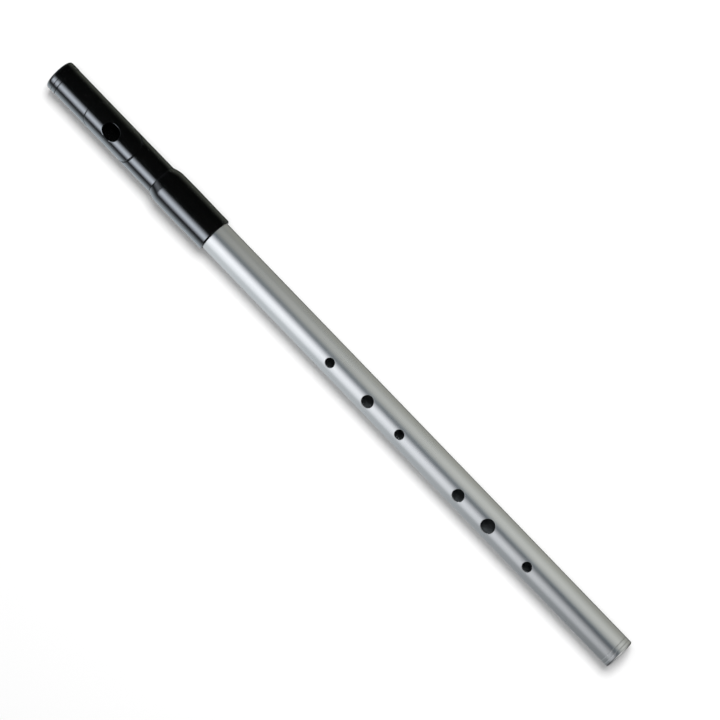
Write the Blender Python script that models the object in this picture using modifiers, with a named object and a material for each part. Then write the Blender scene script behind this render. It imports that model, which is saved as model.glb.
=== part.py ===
"""Keyless two-piece piccolo in D: a black polymer headjoint on an aluminium body tube.

The instrument lies along X, crown at -X and foot at +X, with the embouchure facing +Z.
The origin is under the middle of its length, on the plane that the socket sleeve touches.
Stations along the instrument are distances from the crown's end face.
"""

import math

import bpy
from mathutils import Euler, Vector

MM = 0.001

# Whole instrument
LENGTH = 307.0 * MM
SEGMENTS = 48  # sides of every large turned surface
SMALL_SEGMENTS = 24  # sides of the screw
HOLE_SEGMENTS = 32  # sides of a finger hole
LIP_SEGMENTS = 64  # sides of the lip area's blank and of its outline
FIT = 0.05 * MM  # gap between two pieces that are fixed together or turn in each other
JOINT_GAP = 0.08 * MM  # gap at the joints that show as a line
LEAD_IN = 0.2 * MM  # chamfer at the mouth of the socket and on the tenon
OVERRUN = 2 * MM  # how far a cutter or a blank reaches past what it shapes

# Headjoint
TUBE_RADIUS = 6.5 * MM  # outside of the head tube and of the body tube
HEAD_BORE_RADIUS = 4.7 * MM
HEAD_START = 4.65 * MM
HEAD_SHOULDER = 57.05 * MM  # where the head tube steps down into the sleeve
HEAD_SPIGOT_RADIUS = 5.62 * MM
HEAD_END = 64.85 * MM

# Embouchure and the raised lip area round it
EMBOUCHURE_AT = 31.6 * MM
EMBOUCHURE_LENGTH = 7.75 * MM
EMBOUCHURE_WIDTH = 6.2 * MM
EMBOUCHURE_UNDERCUT = 1.05  # inner end of the cutter over its outer end
EMBOUCHURE_CUT_DEPTH = 6 * MM  # half of it above the tube's surface
LIP_HALF_LENGTH = 12.4 * MM
LIP_HALF_WIDTH = 9.9 * MM
LIP_RADIUS = 6.13 * MM
LIP_RISE = 0.7 * MM  # its axis above the tube's

# Crown
CROWN_RADIUS = 6.65 * MM
CROWN_CORNER = 1.45 * MM
CROWN_LINE_AT = 2.56 * MM
CROWN_FLANGE_END = HEAD_START - JOINT_GAP
CROWN_SPIGOT_END = 8.75 * MM
CROWN_SPIGOT_RADIUS = HEAD_BORE_RADIUS - 0.06 * MM
CROWN_THREAD_END = 1.85 * MM

# Stopper, adjusted by the crown
SCREW_RADIUS = 1.5 * MM
SCREW_HOLE_RADIUS = 1.6 * MM
SCREW_START = 3.45 * MM
STOPPER_FACE = EMBOUCHURE_AT - 7.4 * MM
PLATE_THICKNESS = 1.2 * MM
PLATE_RADIUS = 4.6 * MM
PLATE_SOCKET_DEPTH = 0.6 * MM
CORK_LENGTH = 9.0 * MM
CORK_RADIUS = 4.66 * MM
NUT_LENGTH = 2.0 * MM
NUT_RADIUS = 4.3 * MM

# Socket sleeve
SLEEVE_START = HEAD_SHOULDER + JOINT_GAP
SLEEVE_RADIUS = 7.49 * MM  # at its mouth
SLEEVE_FLARE = 4.6 * MM
SLEEVE_BELLY_AT = 68.75 * MM  # where the sleeve is widest
SLEEVE_BELLY_END = 83.25 * MM
SLEEVE_BELLY = 0.1 * MM  # how much wider it is there
FLARE_STEPS = 8
BELLY_STEPS = 4
SLEEVE_END = 87.0 * MM
SLEEVE_LIP = 0.6 * MM
SLEEVE_NECK_RADIUS = HEAD_SPIGOT_RADIUS + JOINT_GAP
SOCKET_RADIUS = 6.58 * MM
SOCKET_START = HEAD_END + 0.1 * MM

# Body tube, its two sealing rings and its finger holes
BODY_START = 65.25 * MM
BODY_BORE_RADIUS = 5.5 * MM
FOOT_CORNER_ALONG = 1.0 * MM
FOOT_CORNER_ACROSS = 0.65 * MM
FOOT_LINES = (303.65 * MM, 305.22 * MM)
RING_STATIONS = (69.25 * MM, 79.25 * MM)
RING_GROOVE_WIDTH = 0.8 * MM
RING_GROOVE_DEPTH = 0.5 * MM
RING_WIDTH = 0.7 * MM
RING_INNER_RADIUS = 6.05 * MM
RING_OUTER_RADIUS = 6.55 * MM
HOLE_CUT_DEPTH = 5.0 * MM  # half of it above the tube's surface
HOLE_TURN = math.radians(10.2)  # the finger holes are turned this far towards -Y
FINGER_HOLES = (  # station and diameter, from the highest hole to the lowest
    (152.75 * MM, 4.15 * MM),
    (173.15 * MM, 5.2 * MM),
    (190.45 * MM, 4.15 * MM),
    (222.25 * MM, 5.2 * MM),
    (238.25 * MM, 6.0 * MM),
    (259.35 * MM, 4.25 * MM),
)
LINE_WIDTH = 0.3 * MM  # turned decorative lines
LINE_DEPTH = 0.12 * MM

AXIS_HEIGHT = SLEEVE_RADIUS + SLEEVE_BELLY
AXIS_TURN = Euler((0.0, math.pi / 2, 0.0))  # takes a turned shape's own Z to world X


def along(station):
    """World X of a distance from the crown's end face."""
    return station - LENGTH / 2


def make_collection(name):
    """A new collection in the scene."""
    collection = bpy.data.collections.new(name)
    bpy.context.scene.collection.children.link(collection)
    return collection


def make_material(name, colour, roughness, metallic):
    """A Principled material of one colour."""
    material = bpy.data.materials.new(name)
    material.use_nodes = True
    shader = material.node_tree.nodes["Principled BSDF"]
    shader.inputs["Base Color"].default_value = (*colour, 1.0)
    shader.inputs["Roughness"].default_value = roughness
    shader.inputs["Metallic"].default_value = metallic
    return material


def turned(name, profile, closed, collection, material=None, segments=SEGMENTS):
    """A turned piece on the instrument's axis.

    The profile lists (station, radius) along the outside from the crown end to the foot end,
    then back along the inside. A closed profile is a tube; an open one has both ends on the axis.
    """
    points = [(radius, 0.0, along(station)) for station, radius in reversed(profile)]
    count = len(points)
    edges = [(i, (i + 1) % count) for i in range(count if closed else count - 1)]
    mesh = bpy.data.meshes.new(name)
    mesh.from_pydata(points, edges, [])
    piece = bpy.data.objects.new(name, mesh)
    collection.objects.link(piece)
    piece.location = (0.0, 0.0, AXIS_HEIGHT)
    piece.rotation_euler = AXIS_TURN
    screw = piece.modifiers.new("Turn", "SCREW")
    screw.axis = "Z"
    screw.steps = segments
    screw.render_steps = segments
    screw.use_merge_vertices = True
    screw.merge_threshold = 0.00001
    screw.use_smooth_shade = True
    if material:
        mesh.materials.append(material)
    return piece


def hide_cutter(cutter):
    """Marks an object as a construction shape."""
    cutter.hide_render = True
    cutter.display_type = "WIRE"


def combine(piece, other, operation):
    """Adds a Boolean of piece with a construction shape."""
    boolean = piece.modifiers.new(operation.title(), "BOOLEAN")
    boolean.operation = operation
    boolean.solver = "EXACT"
    boolean.object = other


def move_to(collection):
    """Takes the object that a primitive operator has just made, and moves it to a collection."""
    made = bpy.context.active_object
    for old in list(made.users_collection):
        old.objects.unlink(made)
    collection.objects.link(made)
    return made


def arc(centre, radii, start_deg, end_deg, count):
    """Points (station, radius) of a quarter ellipse, angles from the +station direction."""
    points = []
    for i in range(count + 1):
        angle = math.radians(start_deg + (end_deg - start_deg) * i / count)
        station = centre[0] + radii[0] * math.cos(angle)
        points.append((station, centre[1] + radii[1] * math.sin(angle)))
    return points


def half_wave(share):
    """Rises smoothly from 0 to 1 as share does, and stays there."""
    return (1 - math.cos(math.pi * min(max(share, 0.0), 1.0))) / 2


def evenly(start, end, steps):
    """Stations from start to end, both included."""
    return [start + (end - start) * i / steps for i in range(steps + 1)]


def line_groove(station, radius):
    """The three profile points of a turned line."""
    return [
        (station - LINE_WIDTH / 2, radius),
        (station, radius - LINE_DEPTH),
        (station + LINE_WIDTH / 2, radius),
    ]


def make_crown(collection, material):
    """The end cap: a rounded disc, and a spigot with a blind threaded hole for the screw."""
    corner = arc(
        (CROWN_CORNER, CROWN_RADIUS - CROWN_CORNER), (CROWN_CORNER, CROWN_CORNER), 180, 90, 5
    )
    profile = [(0.0, 0.0)] + corner + line_groove(CROWN_LINE_AT, CROWN_RADIUS)
    profile += [
        (CROWN_FLANGE_END, CROWN_RADIUS),
        (CROWN_FLANGE_END, CROWN_SPIGOT_RADIUS),
        (CROWN_SPIGOT_END, CROWN_SPIGOT_RADIUS),
        (CROWN_SPIGOT_END, SCREW_HOLE_RADIUS),
        (CROWN_THREAD_END, SCREW_HOLE_RADIUS),
        (CROWN_THREAD_END, 0.0),
    ]
    return turned("crown", profile, False, collection, material)


def make_stopper(collection, materials):
    """The sliding stopper: facing plate, screw, cork and the nut that holds the cork."""
    plate_back = STOPPER_FACE - PLATE_THICKNESS
    cork_end = plate_back - FIT
    cork_start = cork_end - CORK_LENGTH
    nut_end = cork_start - FIT
    nut_start = nut_end - NUT_LENGTH
    socket_radius = SCREW_RADIUS + FIT
    screw_end = plate_back + PLATE_SOCKET_DEPTH - FIT
    plate = [
        (plate_back, socket_radius),
        (plate_back, PLATE_RADIUS),
        (STOPPER_FACE, PLATE_RADIUS),
        (STOPPER_FACE, 0.0),
    ]
    socket = [(plate_back + PLATE_SOCKET_DEPTH, 0.0), (plate_back + PLATE_SOCKET_DEPTH, socket_radius)]
    turned("stopper_plate", socket + plate, False, collection, materials["brass"])
    cork = [
        (cork_start, CORK_RADIUS),
        (cork_end, CORK_RADIUS),
        (cork_end, SCREW_HOLE_RADIUS),
        (cork_start, SCREW_HOLE_RADIUS),
    ]
    turned("stopper_cork", cork, True, collection, materials["cork"])
    nut = [
        (nut_start, NUT_RADIUS),
        (nut_end, NUT_RADIUS),
        (nut_end, SCREW_HOLE_RADIUS),
        (nut_start, SCREW_HOLE_RADIUS),
    ]
    turned("stopper_nut", nut, True, collection, materials["brass"])
    screw = [
        (SCREW_START, 0.0),
        (SCREW_START, SCREW_RADIUS),
        (screw_end, SCREW_RADIUS),
        (screw_end, 0.0),
    ]
    turned("stopper_screw", screw, False, collection, materials["steel"], SMALL_SEGMENTS)


def make_lip_blank(cutters):
    """The raised lip area: a short cylinder set above the tube's axis, cut to an oval."""
    bpy.ops.mesh.primitive_cylinder_add(
        vertices=LIP_SEGMENTS,
        radius=LIP_RADIUS,
        depth=2 * LIP_HALF_LENGTH + OVERRUN,
        location=(along(EMBOUCHURE_AT), 0.0, AXIS_HEIGHT + LIP_RISE),
        rotation=AXIS_TURN,
    )
    blank = move_to(cutters)
    blank.name = "lip_blank"
    bpy.ops.mesh.primitive_cylinder_add(
        vertices=LIP_SEGMENTS,
        radius=1.0,
        depth=TUBE_RADIUS + OVERRUN,
        location=(along(EMBOUCHURE_AT), 0.0, AXIS_HEIGHT + (TUBE_RADIUS + OVERRUN) / 2),
    )
    outline = move_to(cutters)
    outline.name = "lip_outline"
    for vertex in outline.data.vertices:
        vertex.co.x *= LIP_HALF_LENGTH
        vertex.co.y *= LIP_HALF_WIDTH
    combine(blank, outline, "INTERSECT")
    hide_cutter(blank)
    hide_cutter(outline)
    return blank


def make_embouchure_cutter(cutters):
    """The oval mouth hole, a little wider inside."""
    bpy.ops.mesh.primitive_cone_add(
        vertices=SEGMENTS,
        radius1=EMBOUCHURE_UNDERCUT,
        radius2=1.0,
        depth=EMBOUCHURE_CUT_DEPTH,
        location=(along(EMBOUCHURE_AT), 0.0, AXIS_HEIGHT + TUBE_RADIUS),
    )
    cutter = move_to(cutters)
    cutter.name = "embouchure_cutter"
    for vertex in cutter.data.vertices:
        vertex.co.x *= EMBOUCHURE_LENGTH / 2
        vertex.co.y *= EMBOUCHURE_WIDTH / 2
    hide_cutter(cutter)
    return cutter


def make_head_tube(collection, cutters, material):
    """The head tube: a rod with the raised lip area, bored through, with the mouth hole."""
    rod = [
        (HEAD_START, 0.0),
        (HEAD_START, TUBE_RADIUS),
        (HEAD_SHOULDER, TUBE_RADIUS),
        (HEAD_SHOULDER, HEAD_SPIGOT_RADIUS),
        (HEAD_END, HEAD_SPIGOT_RADIUS),
        (HEAD_END, 0.0),
    ]
    head = turned("head_tube", rod, False, collection, material)
    bore = [
        (HEAD_START - OVERRUN, 0.0),
        (HEAD_START - OVERRUN, HEAD_BORE_RADIUS),
        (HEAD_END + OVERRUN, HEAD_BORE_RADIUS),
        (HEAD_END + OVERRUN, 0.0),
    ]
    bore_cutter = turned("head_bore_cutter", bore, False, cutters)
    hide_cutter(bore_cutter)
    combine(head, make_lip_blank(cutters), "UNION")
    combine(head, bore_cutter, "DIFFERENCE")
    combine(head, make_embouchure_cutter(cutters), "DIFFERENCE")


def sleeve_radius(station):
    """Outer radius of the sleeve: a flare that eases out, and a slight belly that ends before the mouth."""
    rise = math.sin(math.pi / 2 * min((station - SLEEVE_START) / SLEEVE_FLARE, 1.0))
    if station < SLEEVE_BELLY_AT:
        belly = half_wave((station - SLEEVE_START) / (SLEEVE_BELLY_AT - SLEEVE_START))
    else:
        belly = half_wave((SLEEVE_BELLY_END - station) / (SLEEVE_BELLY_END - SLEEVE_BELLY_AT))
    return TUBE_RADIUS + (SLEEVE_RADIUS - TUBE_RADIUS) * rise + SLEEVE_BELLY * belly


def make_sleeve(collection, material):
    """The socket sleeve: bonded on the head tube's spigot, flaring out to take the body tube."""
    lip_start = SLEEVE_END - SLEEVE_LIP
    belly_start = SLEEVE_START + SLEEVE_FLARE
    stations = evenly(SLEEVE_START, belly_start, FLARE_STEPS)
    stations += evenly(belly_start, SLEEVE_BELLY_AT, BELLY_STEPS)[1:]
    stations += evenly(SLEEVE_BELLY_AT, SLEEVE_BELLY_END, BELLY_STEPS)[1:]
    wall = [(station, sleeve_radius(station)) for station in stations]
    lip = arc((lip_start, SLEEVE_RADIUS - SLEEVE_LIP), (SLEEVE_LIP, SLEEVE_LIP), 90, 0, 5)
    inside = [
        (SLEEVE_END, SOCKET_RADIUS + LEAD_IN),
        (SLEEVE_END - LEAD_IN, SOCKET_RADIUS),
        (SOCKET_START, SOCKET_RADIUS),
        (SOCKET_START, SLEEVE_NECK_RADIUS),
        (SLEEVE_START, SLEEVE_NECK_RADIUS),
    ]
    turned("socket_sleeve", wall + lip + inside, True, collection, material)


def make_sealing_rings(collection, material):
    """Two rubber rings that sit in the body tube's grooves and grip the socket."""
    middle = (RING_INNER_RADIUS + RING_OUTER_RADIUS) / 2
    half_height = (RING_OUTER_RADIUS - RING_INNER_RADIUS) / 2
    for number, station in enumerate(RING_STATIONS, start=1):
        section = arc((station, middle), (RING_WIDTH / 2, half_height), 180, -180, 12)[:-1]
        turned(f"tenon_ring_{number}", section, True, collection, material)


def make_body_tube(collection, cutters, material):
    """The body tube: ring grooves in its tenon, six finger holes and two lines at the foot."""
    groove_floor = TUBE_RADIUS - RING_GROOVE_DEPTH
    profile = [(BODY_START, TUBE_RADIUS - LEAD_IN), (BODY_START + LEAD_IN, TUBE_RADIUS)]
    for station in RING_STATIONS:
        start = station - RING_GROOVE_WIDTH / 2
        end = station + RING_GROOVE_WIDTH / 2
        profile += [(start, TUBE_RADIUS), (start, groove_floor)]
        profile += [(end, groove_floor), (end, TUBE_RADIUS)]
    for station in FOOT_LINES:
        profile += line_groove(station, TUBE_RADIUS)
    corner_centre = (LENGTH - FOOT_CORNER_ALONG, TUBE_RADIUS - FOOT_CORNER_ACROSS)
    profile += arc(corner_centre, (FOOT_CORNER_ALONG, FOOT_CORNER_ACROSS), 90, 0, 4)
    profile += [(LENGTH, BODY_BORE_RADIUS), (BODY_START, BODY_BORE_RADIUS)]
    body = turned("body_tube", profile, True, collection, material)
    direction = Vector((0.0, -math.sin(HOLE_TURN), math.cos(HOLE_TURN)))
    for number, (station, diameter) in enumerate(FINGER_HOLES, start=1):
        centre = Vector((along(station), 0.0, AXIS_HEIGHT)) + direction * TUBE_RADIUS
        bpy.ops.mesh.primitive_cylinder_add(
            vertices=HOLE_SEGMENTS,
            radius=diameter / 2,
            depth=HOLE_CUT_DEPTH,
            location=centre,
            rotation=(HOLE_TURN, 0.0, 0.0),
        )
        cutter = move_to(cutters)
        cutter.name = f"hole_cutter_{number}"
        hide_cutter(cutter)
        combine(body, cutter, "DIFFERENCE")


def main():
    """Builds the piccolo."""
    for old in list(bpy.data.objects):
        bpy.data.objects.remove(old)
    collection = make_collection("piccolo")
    cutters = make_collection("cutters")
    polymer = make_material("black_polymer", (0.012, 0.013, 0.014), 0.22, 0.0)
    aluminium = make_material("satin_aluminium", (0.66, 0.67, 0.67), 0.32, 1.0)
    stopper_materials = {
        "brass": make_material("brass", (0.62, 0.47, 0.2), 0.3, 1.0),
        "steel": make_material("steel", (0.45, 0.45, 0.46), 0.35, 1.0),
        "cork": make_material("cork", (0.47, 0.3, 0.16), 0.85, 0.0),
    }
    rubber = make_material("rubber", (0.02, 0.02, 0.02), 0.6, 0.0)
    make_crown(collection, polymer)
    make_stopper(collection, stopper_materials)
    make_head_tube(collection, cutters, polymer)
    make_sleeve(collection, polymer)
    make_sealing_rings(collection, rubber)
    make_body_tube(collection, cutters, aluminium)


main()
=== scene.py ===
"""Looks of the keyless piccolo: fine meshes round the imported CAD, materials, studio and camera.

Stations are millimetres from the crown's end face towards the foot.
Angles round the instrument are radians from +Z towards +Y.
"""

import math

import bmesh
import bpy
import numpy as np
from mathutils import Matrix, Vector


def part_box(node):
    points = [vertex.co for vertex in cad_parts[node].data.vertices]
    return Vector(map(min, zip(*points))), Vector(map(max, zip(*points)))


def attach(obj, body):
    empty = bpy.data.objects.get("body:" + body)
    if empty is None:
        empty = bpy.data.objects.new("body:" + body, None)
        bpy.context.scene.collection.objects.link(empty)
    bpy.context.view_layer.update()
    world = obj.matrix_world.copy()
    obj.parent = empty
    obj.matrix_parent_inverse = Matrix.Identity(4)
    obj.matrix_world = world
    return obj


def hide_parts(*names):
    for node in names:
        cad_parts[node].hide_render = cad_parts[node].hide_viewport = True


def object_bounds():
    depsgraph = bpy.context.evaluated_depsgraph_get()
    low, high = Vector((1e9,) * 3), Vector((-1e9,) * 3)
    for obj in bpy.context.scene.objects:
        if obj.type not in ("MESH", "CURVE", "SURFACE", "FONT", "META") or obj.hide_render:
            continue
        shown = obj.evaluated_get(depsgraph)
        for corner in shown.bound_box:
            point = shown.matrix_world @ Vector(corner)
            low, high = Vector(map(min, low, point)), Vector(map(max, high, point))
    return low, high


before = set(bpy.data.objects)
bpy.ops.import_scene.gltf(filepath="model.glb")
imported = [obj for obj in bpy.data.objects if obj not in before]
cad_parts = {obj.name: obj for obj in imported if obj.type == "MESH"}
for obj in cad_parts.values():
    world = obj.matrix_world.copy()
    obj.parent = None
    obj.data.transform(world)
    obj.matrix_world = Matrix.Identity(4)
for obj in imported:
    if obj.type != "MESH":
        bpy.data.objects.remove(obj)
CAD_LOW, CAD_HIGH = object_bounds()

MM = 0.001
SEGMENTS = 192  # round every turned piece

# Stations and radii in millimetres: the CAD model's, apart from up to 0.35 mm at fine edges
SLEEVE_LOW, SLEEVE_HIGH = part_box("socket_sleeve")
START_X = CAD_LOW.x
AXIS_Z = (SLEEVE_LOW.z + SLEEVE_HIGH.z) / 2
LENGTH = (CAD_HIGH.x - CAD_LOW.x) / MM

TUBE_RADIUS = 6.5
HEAD_BORE = 4.7
HEAD_START = 4.65
HEAD_SHOULDER = 57.05
HEAD_SPIGOT = 5.62
HEAD_END = 64.85

MOUTH_AT = 31.6
MOUTH_HALF_LENGTH = 3.84
MOUTH_HALF_WIDTH = 3.05
MOUTH_UNDERCUT = 1.05
MOUTH_FULLNESS = 0.89  # 1 makes the hole a true ellipse, less a fuller oval
MOUTH_ROUNDING = 0.16
LIP_HALF_LENGTH = 12.4
LIP_HALF_ANGLE = math.radians(103.0)
LIP_RADIUS = 6.13
LIP_RISE = 0.7
LIP_SOFTNESS = 0.025  # over which the lip area's surface leaves the tube's
LIP_WINDOW_HALF_LENGTH = 14.0
LIP_WINDOW_CELLS_ALONG = 64
LIP_WINDOW_CELLS_ROUND = 128
# The groove round the lip area: shares of its width or slope, and how deep it is there
LIP_GROOVE_FLOOR = ((0.92, 0.05), (0.84, 0.2), (0.4, 0.85), (0.3, 1.0), (0.2, 0.97))
LIP_GROOVE_SIDE = ((0.0, 0.6), (0.35, 0.3), (0.7, 0.1), (1.0, 0.03), (1.4, 0.0))

CROWN_RADIUS = 6.65
CROWN_CORNER = (1.1, 1.25)
CROWN_TAPER = 0.055  # what the radius loses from the seam to the corner
CROWN_LINE_AT = 2.74
CROWN_END = 4.57
CROWN_SPIGOT = 4.64
CROWN_SPIGOT_END = 8.75
SCREW_HOLE = 1.6
SCREW_HOLE_END = 1.85

SLEEVE_START = 57.13
SLEEVE_FLARE_END = 61.73
SLEEVE_END = 86.87
SLEEVE_RADIUS = 7.49
SLEEVE_BELLY_AT = 68.75
SLEEVE_BELLY_END = 83.25
SLEEVE_BELLY = 0.1
SLEEVE_NECK = 5.7
SOCKET_RADIUS = 6.58
SOCKET_START = 64.95
SLEEVE_LIP = (0.8, 0.6)

BODY_START = 65.25
BODY_BORE = 5.5
RING_STATIONS = (69.25, 79.25)
FOOT_LINES = (303.65, 305.22)
FOOT_CORNER = (0.8, 0.9)
HOLE_ANGLE = math.radians(-10.2)
FINGER_HOLES = (
    (152.75, 4.15),
    (173.15, 5.2),
    (190.45, 4.15),
    (222.25, 5.2),
    (238.25, 6.0),
    (259.35, 4.25),
)
HOLE_ROUNDING = 0.08


# ---------------------------------------------------------------- meshes


def points_at(station, angle, radius):
    """World points of stations and radii in millimetres, and angles."""
    station, angle, radius = np.broadcast_arrays(station, angle, radius)
    x = START_X + station * MM
    return np.stack([x, radius * MM * np.sin(angle), AXIS_Z + radius * MM * np.cos(angle)], axis=-1)


class Skin:
    """The vertices and faces of one piece while it is made."""

    def __init__(self):
        self.points = []
        self.faces = []
        self.count = 0

    def add(self, points):
        """Adds vertices and returns their numbers."""
        self.points.append(points)
        self.count += len(points)
        return np.arange(self.count - len(points), self.count)

    def bridge(self, first, second):
        """Quads between two closed rows of as many vertices."""
        after_first, after_second = np.roll(first, -1), np.roll(second, -1)
        self.faces += np.stack([first, second, after_second, after_first], axis=1).tolist()


class Window:
    """A rectangle of a tube's wall, left out of its grid so that a hole can be set in it."""

    def __init__(self, outer_row, inner_row, cells_along, first_segment, cells_round):
        self.outer_row = outer_row
        self.inner_row = inner_row
        self.cells_along = cells_along
        self.first_segment = first_segment
        self.cells_round = cells_round

    def crosses(self, row):
        """Whether some of the grid's faces after this row are in the window."""
        starts = (self.outer_row, self.inner_row)
        return any(start <= row < start + self.cells_along for start in starts)

    def covers(self, row, segment):
        """Whether the grid's face after this row and segment is in the window."""
        inside = (segment - self.first_segment) % SEGMENTS < self.cells_round
        return inside and self.crosses(row)

    def steps(self):
        """The border as pairs of steps along and round, once round the window."""
        along, around = self.cells_along, self.cells_round
        border = [(m, 0) for m in range(along)] + [(along, n) for n in range(around)]
        border += [(m, around) for m in range(along, 0, -1)]
        return border + [(0, n) for n in range(around, 0, -1)]

    def border(self, rows, inner):
        """Numbers of the border's vertices on the outside or the inside of the tube."""
        found = []
        for m, n in self.steps():
            row = self.inner_row + self.cells_along - m if inner else self.outer_row + m
            found.append(rows[row][(self.first_segment + n) % SEGMENTS])
        return np.array(found)

    def directions(self):
        """The direction of each border vertex, as an angle in the window's own plane."""
        steps = np.array(self.steps(), float)
        u = 2 * steps[:, 0] / self.cells_along - 1
        v = 2 * steps[:, 1] / self.cells_round - 1
        return np.arctan2(v, u), u, v


def turned(profile, closed, turn=0.0, windows=(), segments=SEGMENTS):
    """A skin turned on the axis from (station, radius) pairs, and its rows of vertices."""
    skin = Skin()
    angles = turn + np.arange(segments) * math.tau / segments
    rows = [skin.add(points_at(station, angles, radius)) for station, radius in profile]
    following = rows[1:] + rows[:1] if closed else rows[1:]
    for number, (row, after) in enumerate(zip(rows, following)):
        if not any(w.crosses(number) for w in windows):
            skin.bridge(row, after)
            continue
        for j in range(segments):
            k = (j + 1) % segments
            if not any(w.covers(number, j) for w in windows):
                skin.faces.append([row[j], after[j], after[k], row[k]])
    return skin, rows


def finished(name, skin, body, node, material, plain_radii=()):
    """The piece's object: welded, facing out, smooth, riding on its body for its CAD node."""
    mesh = bpy.data.meshes.new(name)
    mesh.from_pydata(np.concatenate(skin.points).tolist(), [], skin.faces)
    obj = bpy.data.objects.new(name, mesh)
    bpy.context.scene.collection.objects.link(obj)
    bm = bmesh.new()
    bm.from_mesh(mesh)
    bmesh.ops.remove_doubles(bm, verts=bm.verts, dist=1e-7)
    bmesh.ops.recalc_face_normals(bm, faces=bm.faces)
    if bm.calc_volume(signed=True) < 0:
        bmesh.ops.reverse_faces(bm, faces=bm.faces)
    bm.to_mesh(mesh)
    bm.free()
    mesh.shade_smooth()
    mesh.set_sharp_from_angle(angle=math.radians(38))
    if plain_radii:
        true_cylinders(mesh, plain_radii)
    mesh.materials.append(material)
    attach(obj, body)
    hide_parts(node)
    return obj


def true_cylinders(mesh, radii):
    """Gives the faces that lie on a cylinder of one of these radii that cylinder's own normals."""
    count = len(mesh.vertices)
    co = np.empty(count * 3)
    mesh.vertices.foreach_get("co", co)
    co = co.reshape(-1, 3)
    across = co - np.array([0.0, 0.0, AXIS_Z])
    across[:, 0] = 0.0
    radius = np.linalg.norm(across, axis=1)
    on = np.zeros(count, int)
    for number, plain in enumerate(radii, start=1):
        on[np.abs(radius - plain * MM) < 2e-7] = number
    corner = np.empty(len(mesh.loops), int)
    mesh.loops.foreach_get("vertex_index", corner)
    starts = np.empty(len(mesh.polygons), int)
    mesh.polygons.foreach_get("loop_start", starts)
    totals = np.empty(len(mesh.polygons), int)
    mesh.polygons.foreach_get("loop_total", totals)
    face_of = np.repeat(np.arange(len(starts)), totals)
    order = np.argsort(np.repeat(starts, totals), kind="stable")
    face_of = face_of[order]
    lowest = np.minimum.reduceat(on[corner], starts)
    highest = np.maximum.reduceat(on[corner], starts)
    plain_face = (lowest == highest) & (lowest > 0)
    direction = across / np.maximum(radius, 1e-9)[:, None]
    flat = np.empty(len(mesh.polygons) * 3)
    mesh.polygons.foreach_get("normal", flat)
    flat = flat.reshape(-1, 3)
    normals = direction[corner]
    sign = np.sign((normals * flat[face_of]).sum(axis=1))
    tilt = np.abs((normals * flat[face_of]).sum(axis=1))
    keep = plain_face[face_of] & (tilt > 0.99)
    normals = np.where(keep[:, None], normals * sign[:, None], 0.0)
    mesh.normals_split_custom_set([tuple(n) for n in normals])


def arc(centre, radii, start_deg, end_deg, count):
    """(station, radius) pairs of part of an ellipse, angles from the +station direction."""
    turns = np.radians(np.linspace(start_deg, end_deg, count + 1))
    return [(centre[0] + radii[0] * math.cos(t), centre[1] + radii[1] * math.sin(t)) for t in turns]


def broken_edge(station, radius, spread):
    """The rounded edge of an end face, out to the wall in steps at these distances from it."""
    steps = zip(spread, (0.08, 0.02, 0.0))
    return [(station, radius - 0.2)] + [(station + along, radius - drop) for along, drop in steps]


def straight(start, end, radius, spacing=4.0):
    """Points along a cylinder, the ends left out."""
    count = max(1, round(abs(end - start) / spacing))
    return [(start + (end - start) * i / count, radius) for i in range(1, count)]


def line_groove(station, radius, half_width=0.17, depth=0.12):
    """A turned line with softened edges."""
    return [
        (station - half_width, radius),
        (station - 0.6 * half_width, radius - 0.3 * depth),
        (station - 0.12 * half_width, radius - depth),
        (station + 0.12 * half_width, radius - depth),
        (station + 0.6 * half_width, radius - 0.3 * depth),
        (station + half_width, radius),
    ]


def cut_groove(station, radius, half_width=0.22, depth=0.28):
    """A deep turned line: barely broken edges and steep flanks."""
    side = [(1.0, 0.0), (0.86, 0.04), (0.76, 0.16), (0.1, 1.0)]
    return [(station - half_width * s, radius - depth * d) for s, d in side] + [
        (station + half_width * s, radius - depth * d) for s, d in side[::-1]
    ]


def upright_ring(station, across, height, turn=0.0):
    """Points at distances across the tube and above its axis, in a frame turned round it."""
    return points_at(station, turn + np.arctan2(across, height), np.hypot(across, height))


def rings_between(first, second, shares, radius):
    """Rings at these shares of the way between two outlines, each its stations and angles."""
    rings = []
    for share in shares:
        station, angle = (start + (end - start) * share for start, end in zip(first, second))
        rings.append(points_at(station, angle, radius(angle) if callable(radius) else radius))
    return rings


def fill_window(skin, rows, window, rings):
    """Closes a window by rings that lead from its border outside to its border in the bore."""
    last = window.border(rows, inner=False)
    for ring in rings:
        numbers = skin.add(ring)
        skin.bridge(last, numbers)
        last = numbers
    skin.bridge(last, window.border(rows, inner=True))


def lip_surface(angle):
    """Radius of the lip area: the tube, or the off-centre circle where that stands proud of it."""
    circle = LIP_RISE * np.cos(angle) + np.sqrt(LIP_RADIUS**2 - (LIP_RISE * np.sin(angle)) ** 2)
    proud = np.logaddexp(0.0, (circle - TUBE_RADIUS) / LIP_SOFTNESS)
    return TUBE_RADIUS + LIP_SOFTNESS * proud


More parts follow.
